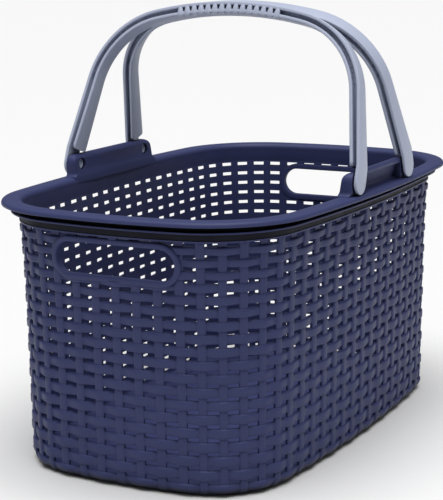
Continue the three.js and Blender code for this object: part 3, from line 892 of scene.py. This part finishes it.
def tower_outline():
    """The tower from its side, in (X, Z): round upper corners and a small flare at the foot."""
    places = [(TOWER_HALF + TOWER_FLARE, TOWER_FOOT - MM)]
    for step in range(FLARE_STEPS + 1):
        angle = math.pi / 2 * step / FLARE_STEPS
        x = TOWER_HALF + TOWER_FLARE * (1 - math.sin(angle))
        places.append((x, RIM_HEIGHT + 0.2 * MM + TOWER_FLARE * (1 - math.cos(angle))))
    for step in range(CORNER_STEPS + 1):
        angle = math.pi / 2 * step / CORNER_STEPS
        x = TOWER_HALF - TOWER_CORNER * (1 - math.cos(angle))
        places.append((x, TOWER_TOP - TOWER_CORNER * (1 - math.sin(angle))))
    return places + [(-x, z) for x, z in places[::-1]]


def ring_about(x, y, z, radius, steps):
    """A circle of points about a line along Y."""
    angles = [math.tau * step / steps for step in range(steps)]
    return [(x + radius * math.cos(angle), y, z + radius * math.sin(angle)) for angle in angles]


def rim_bow(x):
    """How far the rim's crest falls back from the middle of a long side."""
    radius = PLAN[2][2]
    return radius - math.sqrt(radius * radius - x * x)


for side_name, turn in (("left", 0), ("right", math.pi)):
    reach = TOWER_HALF + TOWER_FLARE + MM
    tower = along_x(side_name + "_tower", rounded(plate_section, 6), -reach, reach)
    for start, stop in ((-reach, PILLAR - TOWER_HALF), (TOWER_HALF - PILLAR, reach)):
        carved(tower, along_x("pillar", rounded(pillar_section, 6), start, stop), "UNION")
    depths = (HALF_WIDTH - 30 * MM, HALF_WIDTH + 30 * MM)
    profile = skinned("profile", [[(x, y, z) for x, z in tower_outline()] for y in depths], navy)
    carved(tower, profile, "INTERSECT")
    for place in (-PIVOT_HALF_SPACING, PIVOT_HALF_SPACING):
        rings = [ring_about(place, y, PIVOT_HEIGHT, HOLE_RADIUS, HOLE_STEPS) for y in depths]
        carved(tower, skinned("drill", rings, navy))
    shape = bmesh.new()
    shape.from_mesh(tower.data)
    bmesh.ops.remove_doubles(shape, verts=shape.verts, dist=0.005 * MM)
    bmesh.ops.dissolve_limit(
        shape, angle_limit=math.radians(1), verts=shape.verts, edges=shape.edges
    )
    edges = [e for e in shape.edges if e.is_manifold and e.calc_face_angle() > math.radians(35)]
    bmesh.ops.bevel(
        shape, geom=edges, offset=TOWER_EDGE, segments=3, profile=0.5, affect="EDGES", clamp_overlap=True
    )
    bmesh.ops.triangulate(shape, faces=shape.faces)
    for vert in shape.verts:
        share = min(1, max(0, (TOWER_SEAT + SEAT_BLEND - vert.co.z) / SEAT_BLEND))
        vert.co.y -= rim_bow(vert.co.x) * share * share
    for edge in shape.edges:
        edge.smooth = len(edge.link_faces) == 2 and edge.calc_face_angle() < math.radians(32)
    for face in shape.faces:
        face.smooth = True
    shape.transform(Matrix.Rotation(turn, 4, "Z"))
    shape.to_mesh(tower.data)
    shape.free()
    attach(tower, "basket")
    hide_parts(side_name + "_hinge_tower")

# ---- Floor ----
# A flat plate inside the curl, with a shallow step round its edge. It is moulded with the wall,
# in the same navy polypropylene.

FLOOR = 2.6 * MM
FLOOR_STEPS = 4 * STAKES
floor_reach = curb_centre
floor_rings = []
for offset, height in (
    (floor_reach - 9 * MM, 1.0 * MM),
    (floor_reach - 8 * MM, 0.4 * MM),
    (floor_reach - 0.6 * MM, 0.2 * MM),
    (floor_reach, 0.7 * MM),
    (floor_reach + 0.6 * MM, FLOOR - 0.4 * MM),
    (floor_reach - 0.4 * MM, FLOOR),
):
    ring = []
    for step in range(FLOOR_STEPS):
        place = plan_at(PERIMETER * step / FLOOR_STEPS, offset)
        place.z = height
        ring.append(place)
    floor_rings.append(ring)
floor_plate = skinned("moulded_floor", floor_rings, navy)
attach(floor_plate, "basket")
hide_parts("floor")

# ---- Handles ----
# Two alike swinging handles in light grey-blue polypropylene. Each is one bow of H section: an
# outer and an inner flange joined by a web. The inner flange and web stop above the hinge, and
# the outer flange goes down past the pivot to a round end.

HANDLE_HEIGHT = 136.2 * MM
HANDLE_CORNER = 71 * MM
HANDLE_TOP_RADIUS = 285 * MM
LEG_LEAN = math.radians(8.5)
LEG_STRAIGHT = 12 * MM
FLANGE = 2.6 * MM
FLANGE_HALF_WIDTH = 6.5 * MM
LEG_OUTER = TOWER_OUTER + 1 * MM + FLANGE
END_RADIUS = 9.2 * MM
GROOVE = 3.4 * MM
WEB_HALF = 2 * MM
HANDLES_APART = 0.3 * MM
INNER_ROUND = 4 * MM
END_LENGTH = 5 * MM
END_STEPS = 8
LEG_STEPS = 4
TOWER_CLEARANCE = 0.39 * MM

# Polypropylene from a smoother mould than the basket's, which gives a slightly brighter sheen.
# Its third colour is the painted shade in hemmed-in places.
grey_blue = moulded_plastic("moulded_polypropylene_grey_blue", "b3bace", "aab2c8", "555d78", 0.38, 0.3)


def bow_corner():
    """The centre (y, z) of the arc that touches both the leaning leg and the top arc."""
    top_centre = HANDLE_HEIGHT - HANDLE_TOP_RADIUS
    reach = HANDLE_TOP_RADIUS - HANDLE_CORNER
    start_y = LEG_OUTER - HANDLE_CORNER * math.cos(LEG_LEAN)
    start_z = LEG_STRAIGHT - HANDLE_CORNER * math.sin(LEG_LEAN)
    rise = start_z - top_centre
    half = rise * math.cos(LEG_LEAN) - start_y * math.sin(LEG_LEAN)
    travel = -half + math.sqrt(half * half - (start_y**2 + rise * rise - reach * reach))
    return start_y - travel * math.sin(LEG_LEAN), start_z + travel * math.cos(LEG_LEAN)


BOW_Y, BOW_Z = bow_corner()
TOP_CENTRE = HANDLE_HEIGHT - HANDLE_TOP_RADIUS
MEET = math.atan2(BOW_Z - TOP_CENTRE, BOW_Y)


def bow_path(foot):
    """Places on the bow's outer face and directions into the bow, in (y, z), from foot to foot."""
    half = []
    # Places stand close together at the strip's end, where it is rounded.
    if foot < 0:
        for step in range(END_STEPS):
            height = foot * math.cos(math.pi / 2 * step / END_STEPS)
            half.append((Vector((LEG_OUTER, height)), Vector((-1, 0))))
    else:
        for step in range(END_STEPS):
            height = foot + END_LENGTH * (1 - math.cos(math.pi / 2 * step / END_STEPS))
            lean = LEG_LEAN if height > LEG_STRAIGHT else 0
            half.append((Vector((LEG_OUTER, height)), Vector((-math.cos(lean), -math.sin(lean)))))
    start = half[-1][0].y
    for step in range(1, LEG_STEPS + 1):
        height = start + (LEG_STRAIGHT - start) * step / LEG_STEPS
        if height > start:
            half.append((Vector((LEG_OUTER, height)), Vector((-1, 0))))
    arcs = (
        (BOW_Y, BOW_Z, HANDLE_CORNER, LEG_LEAN, MEET, 28),
        (0, TOP_CENTRE, HANDLE_TOP_RADIUS, MEET, math.pi / 2, 22),
    )
    # Arc places below the strip's start are left out. At the crown the arc hardly rises, so there
    # all of them stay.
    for y, z, radius, first, last, steps in arcs:
        for step in range(steps + 1):
            angle = first + (last - first) * step / steps
            out = Vector((math.cos(angle), math.sin(angle)))
            place = Vector((y, z)) + out * radius
            if place.y > half[-1][0].y + 0.2 * MM or len(half) > 20:
                if (place - half[-1][0]).length > 0.1 * MM:
                    half.append((place, -out))
    other = [(Vector((-p.x, p.y)), Vector((-d.x, d.y))) for p, d in half[:-1]]
    return half + other[::-1]


def half_width(height):
    """Legs widen a little towards the pivot."""
    return FLANGE_HALF_WIDTH + (END_RADIUS - FLANGE_HALF_WIDTH) * max(0, 1 - height / BOW_Z)


def bow_strip(name, foot, shallow, deep, width_at, corner):
    """A strip of the bow between two depths below its outer face, with softened edges."""
    rings = []
    for place, inwards in bow_path(foot):
        wide = max(width_at(place.y), 0.05 * MM)
        soft = min(corner, wide * 0.9)
        top = ((-wide, shallow, soft), (wide, shallow, soft))
        bottom = ((wide, deep, soft), (-wide, deep, soft))
        edge = rounded(top + bottom, 3)
        rings.append([(x, *(place + inwards * depth)) for x, depth in edge])
    return skinned(name, rings, grey_blue)


def outer_width(height):
    """Half the outer flange's width, with its round end below the pivot."""
    if height >= 0:
        return half_width(height)
    return math.sqrt(max(0, END_RADIUS * END_RADIUS - height * height))


def inner_width(height):
    """Half the inner flange's width, with rounded corners at its start."""
    below = INNER_ROUND - (height - INNER_START)
    if below <= 0:
        return half_width(height)
    return half_width(height) - INNER_ROUND + math.sqrt(max(0, INNER_ROUND**2 - below**2))


def rest_lean():
    """The lean at which the two bows' upper edges meet over the middle of the basket."""
    reach = math.hypot(HANDLE_HEIGHT, FLANGE_HALF_WIDTH)
    across = PIVOT_HALF_SPACING - HANDLES_APART / 2
    return math.asin(across / reach) - math.atan2(FLANGE_HALF_WIDTH, HANDLE_HEIGHT)


# The inner flange starts just clear of the tower's top when its handle leans in.
LEAN = rest_lean()
clear_height = TOWER_TOP - PIVOT_HEIGHT + TOWER_CLEARANCE + END_RADIUS * math.sin(LEAN)
INNER_START = clear_height / math.cos(LEAN)
stand = Matrix.Translation((-PIVOT_HALF_SPACING, 0, PIVOT_HEIGHT)) @ Matrix.Rotation(LEAN, 4, "Y")
HANDLES = (("near", stand), ("far", Matrix.Rotation(math.pi, 4, "Z") @ stand))

for handle, at_rest in HANDLES:
    inner = FLANGE + GROOVE
    bow = bow_strip(handle + "_bow", -END_RADIUS, 0, FLANGE, outer_width, 0.7 * MM)
    # The web sinks a little into both flanges, so that the three join as one solid.
    web_depths = (FLANGE - 0.3 * MM, inner + 0.3 * MM)
    strips = (
        bow_strip("inner", INNER_START, inner, inner + FLANGE, inner_width, 0.7 * MM),
        bow_strip("web", INNER_START + 1 * MM, *web_depths, lambda height: WEB_HALF, 0.2 * MM),
    )
    for strip in strips:
        carved(bow, strip, "UNION")
    bow.data.transform(at_rest)
    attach(bow, handle + "_handle")
    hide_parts(handle + "_handle_bow")

# ---- Pivot studs ----
# Each leg has a round hollow stud on its inner side, moulded with the bow in the same grey-blue
# polypropylene. It snaps into the tower's hole, and the handle turns on it.

STUD_RADIUS = 4.4 * MM
STUD_START = TOWER_INNER + 3.5 * MM
STUD_END = LEG_OUTER - FLANGE
STUD_STEPS = 36
stud_line = (
    (0.01 * MM, 1.2 * MM),
    (2.2 * MM, 1.2 * MM),
    (2.8 * MM, 0.7 * MM),
    (3.0 * MM, 0.2 * MM),
    (3.2 * MM, 0),
    (3.7 * MM, 0),
    (4.1 * MM, 0.25 * MM),
    (STUD_RADIUS, 0.9 * MM),
    (STUD_RADIUS, STUD_END - STUD_START),
)
for handle, at_rest in HANDLES:
    for side_name, side in (("left", 1), ("right", -1)):
        rings = []
        for radius, along in stud_line:
            rings.append(ring_about(0, side * (STUD_START + along), 0, radius, STUD_STEPS))
        stud = skinned(f"{handle}_{side_name}_pivot", rings, grey_blue)
        stud.data.transform(at_rest)
        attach(stud, handle + "_handle")
        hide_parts(f"{handle}_{side_name}_stud")

# ---- Grip ribs ----
# A row of rounded ribs bridges each bow's outward groove at the top, for the fingers. They
# widen downwards until they meet, and wrap under the inner flange. Moulded with the bow.

RIB_COUNT = 15
RIB_PITCH = 6.17 * MM
RIB_ROUND = 1.5
RIB_HEART = (3.8, 6.6)
RIB_BACK = 2.5 * MM
# The rib's middle line from under the outer flange, down over the groove and the inner flange,
# and under it: (distance from the web's middle, depth below the outer face, half width).
RIB_LINE = (
    (5.2, 1.5, 1.4),
    (6.6, 1.9, 1.9),
    (7.0, 3.4, 2.2),
    (7.2, 5.6, 2.5),
    (7.2, 8.0, 2.85),
    (7.0, 9.0, 2.95),
    (6.0, 9.9, 2.95),
    (3.6, 9.7, 2.8),
    (1.5, 8.9, 2.0),
)


def finger_rib():
    """One rib at the top of the bow, on its -X side: a rounded finger about its middle line."""
    shares = (-1, -0.92, -0.7, -0.38, 0, 0.38, 0.7, 0.92, 1)
    rings = []
    for across, depth, half in RIB_LINE:
        ring = []
        for share in shares:
            sink = (1 - math.sqrt(1 - share * share)) * RIB_ROUND
            inward = Vector((across - RIB_HEART[0], depth - RIB_HEART[1])).normalized() * sink
            x = (inward.x - across) * MM
            ring.append((x, share * half * MM, HANDLE_TOP_RADIUS - (depth - inward.y) * MM))
        rings.append(ring)
    back = [[(max(x, -RIB_BACK), y * 0.8, z) for x, y, z in (r[0], r[-1])] for r in rings]
    return [ring + [b[1], b[0]] for ring, b in zip(rings, back)]


def rib_tree():
    """Geometry Nodes: a row of ribs round the bow's top arc, stood where the handle stands."""
    sockets = (
        ("Rib", "Object"),
        ("Count", "Int"),
        ("Pitch", "Float"),
        ("Arc radius", "Float"),
        ("Arc centre", "Float"),
        ("Lean", "Vector"),
        ("Place", "Vector"),
        ("Turn", "Vector"),
        ("Material", "Material"),
    )
    tree, given = empty_tree("Grip ribs", sockets)
    points = node(tree, "GeometryNodePoints", {"Count": given["Count"]})
    index = node(tree, "GeometryNodeInputIndex")
    last = node(tree, "ShaderNodeMath", {0: given["Count"], 1: 1.0}, operation="SUBTRACT")
    middle = node(tree, "ShaderNodeMath", {0: last, 1: 0.5}, operation="MULTIPLY")
    number = node(tree, "ShaderNodeMath", {0: index, 1: middle}, operation="SUBTRACT")
    along = node(tree, "ShaderNodeMath", {0: number, 1: given["Pitch"]}, operation="MULTIPLY")
    angle = node(tree, "ShaderNodeMath", {0: along, 1: given["Arc radius"]}, operation="DIVIDE")
    turn = node(tree, "ShaderNodeCombineXYZ", {0: angle})
    rib = node(tree, "GeometryNodeObjectInfo", {"Object": given["Rib"]})
    ribs = node(
        tree,
        "GeometryNodeInstanceOnPoints",
        {"Points": points, "Instance": rib.outputs["Geometry"], "Rotation": turn},
    )
    real = node(tree, "GeometryNodeRealizeInstances", {0: ribs})
    centre = node(tree, "ShaderNodeCombineXYZ", {2: given["Arc centre"]})
    lifted = node(tree, "GeometryNodeTransform", {"Geometry": real, "Translation": centre})
    stood = node(
        tree,
        "GeometryNodeTransform",
        {"Geometry": lifted, "Translation": given["Place"], "Rotation": given["Lean"]},
    )
    turned = node(tree, "GeometryNodeTransform", {"Geometry": stood, "Rotation": given["Turn"]})
    coloured = node(tree, "GeometryNodeSetMaterial", {"Geometry": turned, "Material": given["Material"]})
    node(tree, "NodeGroupOutput", {0: coloured})
    return tree


one_rib = skinned("one_rib", finger_rib(), grey_blue)
ribs_tree = rib_tree()
for handle, turn in (("near", 0), ("far", math.pi)):
    ribs = grown(
        handle + "_finger_ribs",
        ribs_tree,
        {
            "Rib": one_rib,
            "Count": RIB_COUNT,
            "Pitch": RIB_PITCH,
            "Arc radius": HANDLE_TOP_RADIUS - FLANGE - GROOVE / 2,
            "Arc centre": TOP_CENTRE,
            "Lean": (0, LEAN, 0),
            "Place": (-PIVOT_HALF_SPACING, 0, PIVOT_HEIGHT),
            "Turn": (0, 0, turn),
            "Material": grey_blue,
        },
    )
    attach(ribs, handle + "_handle")
    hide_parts(handle + "_grip_ribs")
bpy.data.objects.remove(one_rib)

# ---- Setting ----
# A matt pale floor, lit evenly from above, with one soft lamp at the near side. The room behind
# looks white, but lights the basket more dimly than it looks.

bpy.ops.mesh.primitive_plane_add(size=80, location=(0, 0, 0))
floor = bpy.context.object
floor.name = "pale_floor"
pale = bpy.data.materials.new("matt_pale_floor")
pale.use_nodes = True
paint = pale.node_tree.nodes["Principled BSDF"].inputs
paint["Base Color"].default_value = from_hex("e2e2e2")
paint["Roughness"].default_value = 0.9
floor.data.materials.append(pale)

ROOM_LIGHT = 0.16
BACKDROP = 1.0

world = bpy.data.worlds.new("studio")
scene.world = world
world.use_nodes = True
studio = world.node_tree
studio.nodes.clear()
seen = node(studio, "ShaderNodeLightPath").outputs["Is Camera Ray"]
room = node(studio, "ShaderNodeMapRange", {0: seen, 3: ROOM_LIGHT, 4: BACKDROP})
sky = node(studio, "ShaderNodeBackground", {"Color": (1, 1, 1, 1), "Strength": room})
node(studio, "ShaderNodeOutputWorld", {"Surface": sky})
scene.view_settings.view_transform = "Standard"

KEY_PLACE = Vector((-1.4, -0.8, 1.8))
KEY_AIM = Vector((0, 0, 0.15))
key = bpy.data.lights.new("key", "AREA")
key.size = 1.0
key.energy = 3
ceiling = bpy.data.lights.new("ceiling", "SUN")
ceiling.energy = 3.55
ceiling.angle = math.radians(60)
for light, place, shines in (
    (key, KEY_PLACE, KEY_AIM - KEY_PLACE),
    (ceiling, (0, 0, 0), Vector((0.1, 0.05, -1))),
):
    lamp = bpy.data.objects.new(light.name, light)
    lamp.location = place
    lamp.rotation_euler = shines.to_track_quat("-Z", "Y").to_euler()
    scene.collection.objects.link(lamp)

camera = bpy.data.cameras.new("camera")
eye = bpy.data.objects.new("camera", camera)
scene.collection.objects.link(eye)
scene.camera = eye
EYE_PLACE = Vector((-1.12784, -0.58179, 0.39646))
YAW = 0.4618
PITCH_DOWN = 0.1618
ROLL = -0.0071
forward = Vector(
    (
        math.cos(YAW) * math.cos(PITCH_DOWN),
        math.sin(YAW) * math.cos(PITCH_DOWN),
        -math.sin(PITCH_DOWN),
    )
)
turned = forward.to_track_quat("-Z", "Y").to_matrix() @ Matrix.Rotation(ROLL, 3, "Z")
eye.matrix_world = Matrix.Translation(EYE_PLACE) @ turned.to_4x4()
camera.sensor_fit = "AUTO"
camera.sensor_width = 36
camera.lens = 114.2928
camera.shift_x = -0.079
camera.shift_y = -0.117
